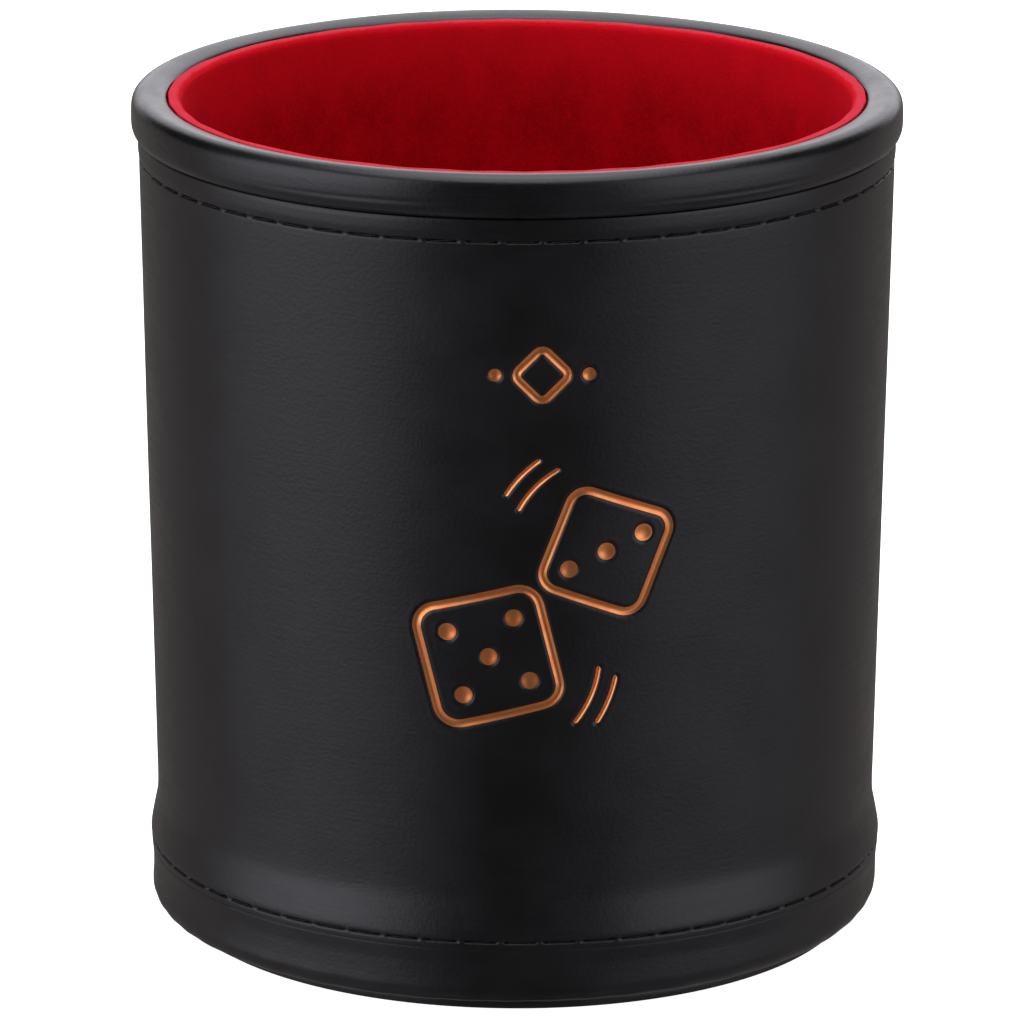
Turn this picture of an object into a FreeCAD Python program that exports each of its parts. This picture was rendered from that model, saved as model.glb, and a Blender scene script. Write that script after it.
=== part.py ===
import FreeCAD, Part
import math
import os

# A straight leather dice cup: a board tube and floor, wrapped outside in leather and lined inside
# with velvet.  Millimetres, +Z up, origin at the middle of the face that the cup stands on.
# The front of the cup, with the foil emblem, faces -Y, and the seam of the wrap is at the back.

# --- driving dimensions -------------------------------------------------------------------------
HEIGHT = 99.4               # floor to the top of the rim
RIM_R = 45.0                # widest radius, at the rolled rim
WALL_TOP_R = 44.05          # wall leather, just under the upper stitches
WALL_FOOT_R = 42.7          # wall leather, just above the swelling over the base
WALL_TOP_Z = 88.0
WALL_FOOT_Z = 17.0

LEATHER = 1.1               # thickness of the wall leather, the base cap's turned edge and the binding
BOARD = 1.4                 # core tube
CARD = 0.4                  # lining sleeve
VELVET = 0.7                # velvet with its pile
GAP = 0.02                  # glue line between nested pieces
TUBE_GLUE = 0.05            # glue under the foot of the core tube
TUBE_CHAMFER_R = 1.2        # the tube's foot is trimmed to sit in the base cap's corner
TUBE_CHAMFER_Z = 0.9

STITCH_PITCH = 4.5          # one stitch and the gap to the next
STITCH_LENGTH = 3.5
THREAD_R = 0.22
GROOVE_HALF = 0.35          # half the width of a stitch groove

# --- levels of the base, from the table up ---------------------------------------------------------
BASE_DISC = 1.4
BASE_DISC_R = 40.1
BASE_DISC_EDGE = 0.3        # radius of the disc's rounded edges
TURN_TOP = BASE_DISC + LEATHER          # top of the base cap's turned-in edge
FLOOR_BOARD = 2.5
FLOOR_BOARD_TOP = TURN_TOP + FLOOR_BOARD
FLOOR_PAD = 2.5
PAD_TOP = FLOOR_BOARD_TOP + FLOOR_PAD

# --- base cap and the wall leather's foot -------------------------------------------------------------
CAP_R = 43.25               # straight part of the band below the lower stitches
CAP_CORNER = 2.3            # radius of the rounded lower corner
CAP_TURN_R = 32.0           # the turned-in edge ends here
CAP_TOP_Z = 8.1             # the wall leather laps over the cap from here up
CAP_EDGE = 0.4              # radius of the band's rounded top edge
FLANGE = 0.9                # thickness of the cap's pared edge behind the wall leather
FLANGE_FOOT_Z = 8.6
FLANGE_TOP_Z = 14.5
WALL_LOW_Z = 8.25           # lower edge of the wall leather
WALL_LOW_LIP = 0.17         # the leather stands out this much between its lower edge and the stitches
BASE_STITCH_Z = 9.2
BASE_GROOVE_R = 43.0        # bottom of the groove that the lower stitches lie in
SWELL_R = 43.5              # widest part of the wall leather, over the flange
SWELL_Z = 10.0
SWELL_MIDDLE_Z = 12.2       # the swelling has fallen half way here
SWELL_EASE_Z = 14.0         # and all but the last trace here
SWELL_TRACE = 0.1
SWELL_END_Z = 15.8

# --- rim ----------------------------------------------------------------------------------------------
MOUTH_R = 40.6              # inner face of the rim binding
ROLL_OUTER = 2.1            # radius of the roll's outer top
ROLL_INNER = RIM_R - MOUTH_R - ROLL_OUTER       # radius of its turn into the mouth
ROLL_LOWER = 1.35           # radius of the roll's underside
ROLL_SIDE_Z = 95.9          # the roll is upright from here to its outer top
TUBE_TOP_Z = HEIGHT - ROLL_INNER - GAP
BINDING_TAIL_Z = 90.0       # the binding ends here inside the tube
BINDING = LEATHER - 0.05    # thickness of the binding round the foam
ALLOWANCE = 0.3             # the binding's sewn edge, pared thin, behind the wall leather
ALLOWANCE_Z = 89.2
ALLOWANCE_GAP = 0.3         # free height between that edge and the step in the wall leather
PARED = 0.15                # thickness of a leather edge pared to nothing under another piece
RIM_STITCH_Z = 91.73
RIM_GROOVE_R = 43.7         # bottom of the groove that the upper stitches lie in
COLLAR_R = 44.22            # swelling between the upper stitches and the roll
COLLAR_Z = 92.7
COLLAR_FOOT = 0.08          # how far inside COLLAR_R the leather leaves the groove
COLLAR_TURN = 0.15          # how far inside it the leather begins to turn into the crease
COLLAR_TURN_Z = 93.6
WALL_EDGE_R = 43.7
WALL_EDGE_Z = 94.2          # top edge of the wall leather, in the crease under the roll

# --- lining -------------------------------------------------------------------------------------------
SLEEVE_FOOT_R = 39.85       # outer radius of the sleeve where it stands on the floor board
SLEEVE_TOP_R = 40.12
SLEEVE_TOP_Z = 98.1
LIP_TOP_Z = 98.85
HEM = 0.35                  # velvet turned down behind the sleeve
HEM_Z = 89.5

FLOOR_LINING_R = 38.7
FLOOR_VELVET = 0.65

# --- back seam ----------------------------------------------------------------------------------------
SEAM_SLIT = 0.12            # open line between the two ends of the wrap
BACK_ROW_X = 2.4            # the row of stitches stands this far from the slit
BACK_ROW_LOW = 17.5
BACK_ROW_HIGH = 89.5
BACK_ROW_END = 0.8          # the groove runs on past the row's ends
BACK_GROOVE = 0.3           # depth of the groove that the back stitches lie in

# --- emblem -------------------------------------------------------------------------------------------
EMBLEM_Z = 48.5             # middle of the pair of dice
MOTIF_Z = 76.4              # middle of the small lozenge above
STROKE = 1.0                # width of a stroke
FINE_STROKE = 0.6
EMBOSS = 0.3                # depth of the grooves
FOIL = 0.08
STAMP_Y = 50.0              # the stamp's prisms start in front of the wall
STAMP_DEPTH = 20.0
STAMP_BELOW = 20.0          # the emblem lies between these distances from its two middles
STAMP_ABOVE = 8.0
DIE_CORNER = 0.17           # corner radius of a die's outline, as a share of its side
PIP_SPACING = 0.27          # from the middle pip to the next column, as a share of the side
PIP_R = 1.05
DIE_A = (-5.9, EMBLEM_Z - 5.2, 14.2, 14.0)      # middle across, middle height, side, turn in degrees
DIE_B = (7.4, EMBLEM_Z + 7.0, 12.2, -21.0)
FIVE = ((0, 0), (-1, -1), (-1, 1), (1, -1), (1, 1))
THREE = ((0, 0), (-1, -1), (1, 1))
TUMBLE_MARKS = (            # across, up from the emblem's middle, radius, start angle, sweep
    (7.4, 7.0, 11.3, 118.0, 36.0),
    (7.4, 7.0, 13.4, 124.0, 26.0),
    (-5.9, -5.2, 12.6, -40.0, 34.0),
    (-5.9, -5.2, 14.7, -34.0, 24.0),
)
LOZENGE_SIDE = 4.6
LOZENGE_CORNER = 0.9
LOZENGE_TURN = 45.0
LOZENGE_DOT_X = 5.3
LOZENGE_DOT_R = 0.8


def wall_r(z, inset=0.0):
    """Radius of the wall's straight taper at height z, less an inset."""
    slope = (WALL_TOP_R - WALL_FOOT_R) / (WALL_TOP_Z - WALL_FOOT_Z)
    return WALL_FOOT_R + slope * (z - WALL_FOOT_Z) - inset


def tube_outer(z):
    return wall_r(z, LEATHER)


def tube_inner(z):
    return wall_r(z, LEATHER + BOARD)


def sleeve_outer(z):
    slope = (SLEEVE_TOP_R - SLEEVE_FOOT_R) / (SLEEVE_TOP_Z - FLOOR_BOARD_TOP)
    return SLEEVE_FOOT_R + slope * (z - FLOOR_BOARD_TOP)


def at(r, z):
    """Point of a ring's section, in the plane Y = 0."""
    return FreeCAD.Vector(r, 0, z)


def lines(*points):
    return [Part.LineSegment(at(*a), at(*b)).toShape() for a, b in zip(points, points[1:])]


def arc(start, middle, end):
    return Part.Arc(at(*start), at(*middle), at(*end)).toShape()


def corner(centre, radius, from_degrees, to_degrees):
    """Arc of a rounded corner, with angles measured from +r towards +z."""
    points = []
    for degrees in (from_degrees, (from_degrees + to_degrees) / 2, to_degrees):
        angle = math.radians(degrees)
        points.append((centre[0] + radius * math.cos(angle), centre[1] + radius * math.sin(angle)))
    return arc(*points)


def curve(*points):
    """Smooth curve through a few points."""
    spline = Part.BSplineCurve()
    spline.interpolate([at(*point) for point in points])
    return spline.toShape()


def ring(edges):
    """Closed section turned once round the cup's axis."""
    section = Part.Face(Part.Wire(Part.__sortEdges__(edges)))
    solid = section.revolve(FreeCAD.Vector(0, 0, 0), FreeCAD.Vector(0, 0, 1), 360)
    return Part.Solid(solid.Shells[0]) if solid.ShapeType != "Solid" else solid


def disc(radius, low, high):
    return Part.makeCylinder(radius, high - low, FreeCAD.Vector(0, 0, low))


# --- core ---------------------------------------------------------------------------------------------
def core_tube():
    foot = TURN_TOP + TUBE_GLUE
    chamfer_top = foot + TUBE_CHAMFER_Z
    return ring(lines(
        (tube_inner(foot), foot),
        (tube_outer(foot) - TUBE_CHAMFER_R, foot),
        (tube_outer(chamfer_top), chamfer_top),
        (tube_outer(TUBE_TOP_Z), TUBE_TOP_Z),
        (tube_inner(TUBE_TOP_Z), TUBE_TOP_Z),
        (tube_inner(foot), foot)))


def core_floor():
    return disc(tube_inner(TURN_TOP) - GAP, TURN_TOP + GAP, FLOOR_BOARD_TOP)


# --- leather ------------------------------------------------------------------------------------------
def roll_inset(inset):
    """The roll's outline from the mouth, over the top and down its side to the underside, as edges."""
    top_in = (MOUTH_R + ROLL_INNER, HEIGHT - ROLL_INNER)
    top_out = (RIM_R - ROLL_OUTER, HEIGHT - ROLL_OUTER)
    low = (RIM_R - ROLL_LOWER, ROLL_SIDE_Z)
    edges = [corner(top_in, ROLL_INNER - inset, 180, 90), corner(top_out, ROLL_OUTER - inset, 90, 0)]
    edges += lines((RIM_R - inset, top_out[1]), (RIM_R - inset, ROLL_SIDE_Z))
    edges.append(corner(low, ROLL_LOWER - inset, 0, -90))
    start = (MOUTH_R + inset, top_in[1])
    end = (low[0], ROLL_SIDE_Z - ROLL_LOWER + inset)
    return edges, start, end


def rim_binding():
    outer, mouth, underside = roll_inset(0)
    inner, tail_top, fold = roll_inset(BINDING)
    allowance_top = tube_outer(underside[1]) + ALLOWANCE
    edges = outer + inner
    edges += lines(underside, (allowance_top, underside[1]),
                   (tube_outer(ALLOWANCE_Z) + ALLOWANCE, ALLOWANCE_Z),
                   (tube_outer(ALLOWANCE_Z) + GAP, ALLOWANCE_Z),
                   (tube_outer(fold[1]) + GAP, fold[1]), fold)
    edges += lines(mouth, (MOUTH_R, BINDING_TAIL_Z),
                   (tube_inner(BINDING_TAIL_Z) - GAP, BINDING_TAIL_Z), tail_top)
    return ring(edges)


def rim_filler():
    inner, start, end = roll_inset(LEATHER)
    return ring(inner + lines(end, (tube_outer(end[1]) + GAP, end[1]),
                              (tube_outer(TUBE_TOP_Z) + GAP, start[1]), start))


def base_cap():
    corner_centre = (CAP_R - CAP_CORNER, BASE_DISC + CAP_CORNER)
    inner_corner = CAP_CORNER - LEATHER
    tube_r = tube_outer(corner_centre[1]) + GAP
    reach = math.degrees(math.acos((tube_r - corner_centre[0]) / inner_corner))
    edges = lines((CAP_TURN_R, TURN_TOP), (CAP_TURN_R, BASE_DISC), (corner_centre[0], BASE_DISC))
    edges.append(corner(corner_centre, CAP_CORNER, -90, 0))
    edges += lines((CAP_R, corner_centre[1]), (CAP_R, CAP_TOP_Z - CAP_EDGE))
    edges.append(corner((CAP_R - CAP_EDGE, CAP_TOP_Z - CAP_EDGE), CAP_EDGE, 0, 90))
    edges += lines(
        (CAP_R - CAP_EDGE, CAP_TOP_Z),
        (tube_outer(FLANGE_FOOT_Z) + FLANGE, CAP_TOP_Z),
        (tube_outer(SWELL_Z) + FLANGE, SWELL_Z),
        (tube_outer(FLANGE_TOP_Z) + PARED, FLANGE_TOP_Z),
        (tube_outer(FLANGE_TOP_Z) + GAP, FLANGE_TOP_Z),
        (tube_r, corner_centre[1] - inner_corner * math.sin(math.radians(reach))))
    edges.append(corner(corner_centre, inner_corner, -reach, -90))
    edges += lines((corner_centre[0], TURN_TOP), (CAP_TURN_R, TURN_TOP))
    return ring(edges)


def groove(z, floor_r, lower_r, upper_r):
    """Section of a stitch groove, from its lower lip to its upper lip."""
    return arc((lower_r, z - GROOVE_HALF), (floor_r, z), (upper_r, z + GROOVE_HALF))


def wall_outline():
    """Outer face of the wall leather, from its lower edge to the crease under the roll."""
    low_lip = CAP_R + WALL_LOW_LIP
    straight_top = RIM_STITCH_Z - GROOVE_HALF
    middle_r = (SWELL_R + wall_r(SWELL_END_Z)) / 2
    edges = lines((CAP_R, WALL_LOW_Z), (low_lip, BASE_STITCH_Z - GROOVE_HALF))
    edges.append(groove(BASE_STITCH_Z, BASE_GROOVE_R, low_lip, SWELL_R))
    edges.append(curve(
        (SWELL_R, BASE_STITCH_Z + GROOVE_HALF),
        (SWELL_R, SWELL_Z),
        (middle_r, SWELL_MIDDLE_Z),
        (wall_r(SWELL_EASE_Z) + SWELL_TRACE, SWELL_EASE_Z),
        (wall_r(SWELL_END_Z), SWELL_END_Z)))
    edges += lines((wall_r(SWELL_END_Z), SWELL_END_Z), (wall_r(straight_top), straight_top))
    edges.append(groove(RIM_STITCH_Z, RIM_GROOVE_R, wall_r(straight_top), COLLAR_R - COLLAR_FOOT))
    edges.append(curve(
        (COLLAR_R - COLLAR_FOOT, RIM_STITCH_Z + GROOVE_HALF),
        (COLLAR_R, COLLAR_Z),
        (COLLAR_R - COLLAR_TURN, COLLAR_TURN_Z),
        (WALL_EDGE_R, WALL_EDGE_Z)))
    return edges


def wrap():
    """The wall leather before its seam is cut and its emblem pressed."""
    over = ALLOWANCE + GAP
    step = ALLOWANCE_Z - ALLOWANCE_GAP
    pared_top = FLANGE_TOP_Z + ALLOWANCE_GAP
    inner = lines(
        (WALL_EDGE_R, WALL_EDGE_Z),
        (tube_outer(WALL_EDGE_Z) + over, WALL_EDGE_Z),
        (tube_outer(step) + over, step),
        (tube_outer(step) + GAP, step),
        (tube_outer(pared_top) + GAP, pared_top),
        (tube_outer(FLANGE_TOP_Z) + PARED + GAP, FLANGE_TOP_Z),
        (tube_outer(SWELL_Z) + FLANGE + GAP, SWELL_Z),
        (tube_outer(WALL_LOW_Z) + FLANGE + GAP, WALL_LOW_Z),
        (CAP_R, WALL_LOW_Z))
    return ring(wall_outline() + inner)


# --- back seam ----------------------------------------------------------------------------------------
def back_line(z, outward):
    """Point on the row of back stitches, outward from the wall's face."""
    radius = wall_r(z) + outward
    return FreeCAD.Vector(BACK_ROW_X, math.sqrt(radius ** 2 - BACK_ROW_X ** 2), z)


def back_rod(low, high, radius, outward):
    foot = back_line(low, outward)
    run = back_line(high, outward) - foot
    return Part.makeCylinder(radius, run.Length, foot, run)


def back_seam_cut():
    slit = Part.makeBox(SEAM_SLIT, RIM_R, HEIGHT, FreeCAD.Vector(-SEAM_SLIT / 2, 0, 0))
    low, high = BACK_ROW_LOW - BACK_ROW_END, BACK_ROW_HIGH + BACK_ROW_END
    row = back_rod(low, high, GROOVE_HALF, GROOVE_HALF - BACK_GROOVE)
    return [slit, row]


def back_seam_stitches():
    count = int((BACK_ROW_HIGH - BACK_ROW_LOW) / STITCH_PITCH)
    outward = THREAD_R + GAP - BACK_GROOVE
    stitches = []
    for i in range(count):
        low = BACK_ROW_LOW + i * STITCH_PITCH
        stitches.append(back_rod(low, low + STITCH_LENGTH, THREAD_R, outward))
    return Part.makeCompound(stitches)


# --- round seams --------------------------------------------------------------------------------------
def stitch_round(z, groove_r):
    """A full round of stitches lying in a groove, each a separate run of thread."""
    radius = groove_r + THREAD_R + GAP
    count = round(2 * math.pi * radius / STITCH_PITCH)
    run = math.degrees(STITCH_LENGTH / radius)
    stitches = []
    for i in range(count):
        stitch = Part.makeTorus(radius, THREAD_R, FreeCAD.Vector(0, 0, z), FreeCAD.Vector(0, 0, 1),
                                0, 360, run)
        stitch.rotate(FreeCAD.Vector(0, 0, 0), FreeCAD.Vector(0, 0, 1), i * 360 / count)
        stitches.append(stitch)
    return Part.makeCompound(stitches)


# --- emblem -------------------------------------------------------------------------------------------
def dot(x, z, radius):
    return Part.makeCylinder(radius, STAMP_DEPTH, FreeCAD.Vector(x, -STAMP_Y, z), FreeCAD.Vector(0, 1, 0))


def rounded_square(x, z, side, corner_r, turn):
    half = side / 2
    block = Part.makeBox(side, STAMP_DEPTH, side, FreeCAD.Vector(x - half, -STAMP_Y, z - half))
    upright = [edge for edge in block.Edges if abs(edge.tangentAt(edge.FirstParameter).y) > 0.9]
    block = block.makeFillet(corner_r, upright)
    block.rotate(FreeCAD.Vector(x, 0, z), FreeCAD.Vector(0, 1, 0), -turn)
    return block


def square_loop(x, z, side, corner_r, turn, width):
    outer = rounded_square(x, z, side + width, corner_r + width / 2, turn)
    return outer.cut(rounded_square(x, z, side - width, corner_r - width / 2, turn))


def arc_stroke(x, z, radius, start, sweep, width):
    """Stroke along an arc, with angles from +x towards +z, and round ends."""
    edge = []
    for r in (radius + width / 2, radius - width / 2):
        points = []
        for share in (0, 0.5, 1):
            angle = math.radians(start + share * sweep)
            points.append(FreeCAD.Vector(x + r * math.cos(angle), -STAMP_Y, z + r * math.sin(angle)))
        edge.append(points)
    outer, inner = edge
    outline = [Part.Arc(*outer).toShape(), Part.LineSegment(outer[2], inner[2]).toShape(),
               Part.Arc(*inner).toShape(), Part.LineSegment(inner[0], outer[0]).toShape()]
    stroke = Part.Face(Part.Wire(Part.__sortEdges__(outline))).extrude(FreeCAD.Vector(0, STAMP_DEPTH, 0))
    for angle in (math.radians(start), math.radians(start + sweep)):
        stroke = stroke.fuse(dot(x + radius * math.cos(angle), z + radius * math.sin(angle), width / 2))
    return stroke.removeSplitter()


def die_face(x, z, side, turn, pips, width):
    """Outline of a die's face with its pips; pips are places in units of the pip spacing."""
    marks = [square_loop(x, z, side, DIE_CORNER * side, turn, width)]
    spacing = PIP_SPACING * side
    angle = math.radians(turn)
    for i, j in pips:
        across = x + spacing * (i * math.cos(angle) - j * math.sin(angle))
        up = z + spacing * (i * math.sin(angle) + j * math.cos(angle))
        marks.append(dot(across, up, PIP_R + (width - STROKE) / 2))
    return marks


def emblem_marks(shrink):
    """Prisms of the whole emblem: two tumbling dice, tumble marks and a lozenge between two dots."""
    width = STROKE - shrink
    fine = FINE_STROKE - shrink
    marks = die_face(*DIE_A, FIVE, width) + die_face(*DIE_B, THREE, width)
    for x, z, radius, start, sweep in TUMBLE_MARKS:
        marks.append(arc_stroke(x, EMBLEM_Z + z, radius, start, sweep, fine))
    marks.append(square_loop(0, MOTIF_Z, LOZENGE_SIDE, LOZENGE_CORNER, LOZENGE_TURN, width))
    for side in (-1, 1):
        marks.append(dot(side * LOZENGE_DOT_X, MOTIF_Z, LOZENGE_DOT_R - shrink / 2))
    return marks


def emblem_band(deep, shallow):
    """Tapered band of the wall between two insets, over the height of the emblem."""
    low, high = EMBLEM_Z - STAMP_BELOW, MOTIF_Z + STAMP_ABOVE
    return ring(lines((wall_r(low, deep), low), (wall_r(low, shallow), low),
                      (wall_r(high, shallow), high), (wall_r(high, deep), high),
                      (wall_r(low, deep), low)))


def foil_emblem():
    band = emblem_band(EMBOSS - GAP, EMBOSS - GAP - FOIL)
    return Part.makeCompound([mark.common(band).Solids[0] for mark in emblem_marks(2 * GAP)])


def wall_leather():
    band = emblem_band(EMBOSS, -LEATHER)
    pressed = [mark.common(band) for mark in emblem_marks(0)]
    return wrap().cut(back_seam_cut() + pressed).Solids[0]


# --- base ---------------------------------------------------------------------------------------------
def base_filler():
    return disc(CAP_TURN_R - GAP, BASE_DISC, TURN_TOP)


def base_disc():
    plate = disc(BASE_DISC_R, 0, BASE_DISC - GAP)
    rims = [edge for edge in plate.Edges if edge.Closed]
    return plate.makeFillet(BASE_DISC_EDGE, rims)


# --- lining -------------------------------------------------------------------------------------------
def lining_sleeve():
    foot = FLOOR_BOARD_TOP + GAP
    return ring(lines(
        (sleeve_outer(foot) - CARD, foot),
        (sleeve_outer(foot), foot),
        (sleeve_outer(SLEEVE_TOP_Z), SLEEVE_TOP_Z),
        (sleeve_outer(SLEEVE_TOP_Z) - CARD, SLEEVE_TOP_Z),
        (sleeve_outer(foot) - CARD, foot)))


def wall_lining():
    foot = FLOOR_BOARD_TOP + GAP
    pile_r = sleeve_outer(SLEEVE_TOP_Z) - CARD - VELVET
    hem_r = sleeve_outer(SLEEVE_TOP_Z) + HEM
    lip = (hem_r - pile_r) / 2
    lip_z = LIP_TOP_Z - lip
    edges = lines((sleeve_outer(foot) - CARD - VELVET, foot), (pile_r, lip_z))
    edges.append(corner((pile_r + lip, lip_z), lip, 180, 0))
    edges += lines(
        (hem_r, lip_z),
        (sleeve_outer(HEM_Z) + HEM, HEM_Z),
        (sleeve_outer(HEM_Z) + GAP, HEM_Z),
        (sleeve_outer(SLEEVE_TOP_Z) + GAP, SLEEVE_TOP_Z + GAP),
        (sleeve_outer(SLEEVE_TOP_Z) - CARD - GAP, SLEEVE_TOP_Z + GAP),
        (sleeve_outer(foot) - CARD - GAP, foot),
        (sleeve_outer(foot) - CARD - VELVET, foot))
    return ring(edges)


def floor_pad():
    return disc(FLOOR_LINING_R - FLOOR_VELVET - GAP, FLOOR_BOARD_TOP + GAP, PAD_TOP)


def floor_lining():
    foot = FLOOR_BOARD_TOP + GAP
    top = PAD_TOP + FLOOR_VELVET
    inside = FLOOR_LINING_R - FLOOR_VELVET
    round_z = top - FLOOR_VELVET
    edges = lines((0, PAD_TOP + GAP), (inside, PAD_TOP + GAP), (inside, foot), (FLOOR_LINING_R, foot),
                  (FLOOR_LINING_R, round_z))
    edges.append(corner((inside, round_z), FLOOR_VELVET, 0, 90))
    edges += lines((inside, top), (0, top), (0, PAD_TOP + GAP))
    return ring(edges)


def rim_stitches():
    return stitch_round(RIM_STITCH_Z, RIM_GROOVE_R)


def base_stitches():
    return stitch_round(BASE_STITCH_Z, BASE_GROOVE_R)


NODES = (core_tube, core_floor, rim_filler, rim_binding, wall_leather, rim_stitches, base_cap,
         base_stitches, base_filler, base_disc, back_seam_stitches, foil_emblem, lining_sleeve,
         wall_lining, floor_pad, floor_lining)

os.makedirs("parts", exist_ok=True)
for build in NODES:
    shape = build()
    if not shape.isValid():
        raise ValueError(build.__name__ + " is not a valid shape")
    shape.exportStep(os.path.join("parts", build.__name__ + ".step"))
    print(build.__name__, len(shape.Solids), "solids", round(shape.Volume, 1), "mm3")
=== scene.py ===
import math

import bmesh
import bpy
import numpy as np
from mathutils import Matrix, Vector
from mathutils.kdtree import KDTree


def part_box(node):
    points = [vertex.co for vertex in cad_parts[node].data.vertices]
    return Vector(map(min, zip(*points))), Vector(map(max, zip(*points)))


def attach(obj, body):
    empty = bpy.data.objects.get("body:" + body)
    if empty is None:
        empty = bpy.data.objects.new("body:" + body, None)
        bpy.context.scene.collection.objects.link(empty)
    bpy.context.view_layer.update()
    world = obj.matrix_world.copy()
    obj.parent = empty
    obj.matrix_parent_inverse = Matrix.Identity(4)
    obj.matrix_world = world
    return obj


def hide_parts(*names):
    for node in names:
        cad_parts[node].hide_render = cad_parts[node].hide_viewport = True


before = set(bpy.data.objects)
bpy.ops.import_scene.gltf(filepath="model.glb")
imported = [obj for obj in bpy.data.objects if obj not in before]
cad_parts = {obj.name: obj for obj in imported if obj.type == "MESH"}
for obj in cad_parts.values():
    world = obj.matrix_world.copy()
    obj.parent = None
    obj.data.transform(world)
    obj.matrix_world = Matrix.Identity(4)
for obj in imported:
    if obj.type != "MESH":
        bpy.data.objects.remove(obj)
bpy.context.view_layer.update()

# A leather dice cup with a velvet lining.  Sizes below are in millimetres and angles in degrees, unless
# a comment says otherwise, and MM turns millimetres into Blender's metres.  The emblem faces -Y, and an
# angle round the cup is measured from the middle of the emblem, positive towards +X.
MM = 0.001


def span(node):
    """Lowest and highest corner of a CAD node, in millimetres."""
    low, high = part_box(node)
    return np.array(low) / MM, np.array(high) / MM


# --- levels and radii, read from the frame
def foot_of(node):
    return span(node)[0][2]


def top_of(node):
    return span(node)[1][2]


def radius_of(node):
    return span(node)[1][0]


HEIGHT = top_of("rim_binding")
RIM_R = radius_of("rim_binding")
TAIL_Z = foot_of("rim_binding")
WALL_LOW_Z = foot_of("wall_leather")
RIM_SEAM_Z = (foot_of("rim_stitches") + top_of("rim_stitches")) / 2
BASE_SEAM_Z = (foot_of("base_stitches") + top_of("base_stitches")) / 2
CAP_FOOT_Z = foot_of("base_cap")
FLANGE_TOP_Z = top_of("base_cap")
DISC_R = radius_of("base_disc")
FLOOR_BOARD_TOP = top_of("core_floor")
PAD_R = radius_of("floor_pad")
PAD_TOP = top_of("floor_pad")
FLOOR_TOP = top_of("floor_lining")
FLOOR_R = radius_of("floor_lining")
LIP_TOP_Z = top_of("wall_lining")
SLEEVE_TOP_Z = top_of("lining_sleeve")
TUBE_TOP_Z = top_of("core_tube")

# --- sizes that the frame's boxes don't give
LEATHER = 1.1  # thickness of each sheet and board
BOARD = 1.4
CARD = 0.4
VELVET = 0.7
HEM = 0.44  # thickness of the velvet turned over outside the sleeve
HEM_FOOT = 89.5
GAP = 0.02  # left open between pieces that touch
WALL_TOP = (44.05, 88.0)  # radius and height on the wall's straight taper
WALL_FOOT = (42.7, 17.0)
SWELL = (43.5, 10.0)  # widest part of the swelling above the base seam
SWELL_END = 15.8
WALL_FOOT_EDGE = 43.42  # bottom edge of the wall leather, flush with the base band
COLLAR = (44.22, 92.7)  # widest part of the collar above the rim seam
WALL_EDGE_R = 43.65  # top edge of the wall leather, pushed up in the crease
COLLAR_TOP_Z = 94.42
MOUTH_R = 40.6
ROLL_OUTER = 2.1  # radii of the roll's corners: outside, at the mouth and underneath
ROLL_INNER = RIM_R - MOUTH_R - ROLL_OUTER
ROLL_LOWER = 1.35
ROLL_SIDE_Z = 95.9  # lowest point of the roll's upright side
ALLOWANCE = 0.3  # thickness of the rim strip's edge, sewn in behind the wall leather
ALLOWANCE_Z = 89.2
CAP_R = 43.25
CAP_CORNER = 2.3  # radius of the base band's corner
CAP_TURN_R = 32.0  # edge of the base band, turned in underneath
FLANGE = 0.9  # thickness of the base band behind the wall leather
SLEEVE_FOOT_R = 39.85
SLEEVE_TOP_R = 40.12

THREAD_R = 0.13
STITCH_LENGTH = 3.4
STITCH_PITCH = 4.5
RIM_THREAD_R = 43.92  # radius of the thread's middle line in each round seam
BASE_THREAD_R = 43.27
RIM_STITCHES = 61
BASE_STITCHES = 60
BACK_ROW_X = 2.4
BACK_ROW = (17.5, 4.5, 16)  # lowest stitch, pitch, count
FAR = 99.0  # a distance at which no seam or mark is felt

COARSE = 360  # columns round the cup, and three times as many along the seams
FINE = 3

# --- emblem, as in the CAD
EMBLEM_Z = 48.5
MOTIF_Z = 76.4
STROKE = 1.0
FINE_STROKE = 0.6
PIP_R = 1.05
DIE_CORNER = 0.17
PIP_SPACING = 0.27  # a share of the die's side, as is DIE_CORNER
# Each die: place, side, turn.  Each pattern of pips: places in steps of PIP_SPACING.
DIE_A = (-5.9, EMBLEM_Z - 5.2, 14.2, 14.0)
DIE_B = (7.4, EMBLEM_Z + 7.0, 12.2, -21.0)
FIVE = ((0, 0), (-1, -1), (-1, 1), (1, -1), (1, 1))
THREE = ((0, 0), (-1, -1), (1, 1))
TUMBLE_MARKS = (  # middle of the arc (height above EMBLEM_Z), radius, start, sweep
    (7.4, 7.0, 11.3, 118.0, 36.0),
    (7.4, 7.0, 13.4, 124.0, 26.0),
    (-5.9, -5.2, 12.6, -40.0, 34.0),
    (-5.9, -5.2, 14.7, -34.0, 24.0),
)
LOZENGE_SIDE = 4.6
LOZENGE_CORNER = 0.9
LOZENGE_DOT_X = 5.3
LOZENGE_DOT_R = 0.8
PRESS = 0.30  # depth of the leather's grooves
FOIL_DEPTH = 0.24  # depth of the foil in the middle of a stroke
FOIL_CURL = 0.16  # how much higher the foil is at a stroke's edges
FOIL_GAUGE = 0.04


def placed(name, data):
    """A new object in the scene."""
    made = bpy.data.objects.new(name, data)
    bpy.context.scene.collection.objects.link(made)
    return made


# --- camera
CAMERA_TURN = -3.8
CAMERA_DOWN = 15.980  # how far below the horizontal it looks
CAMERA_ROLL = 0.16
CAMERA_PLACE = (-0.45, -842.6, 289.3)
CAMERA_LENS = 260.16  # on a sensor 36 mm wide


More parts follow.
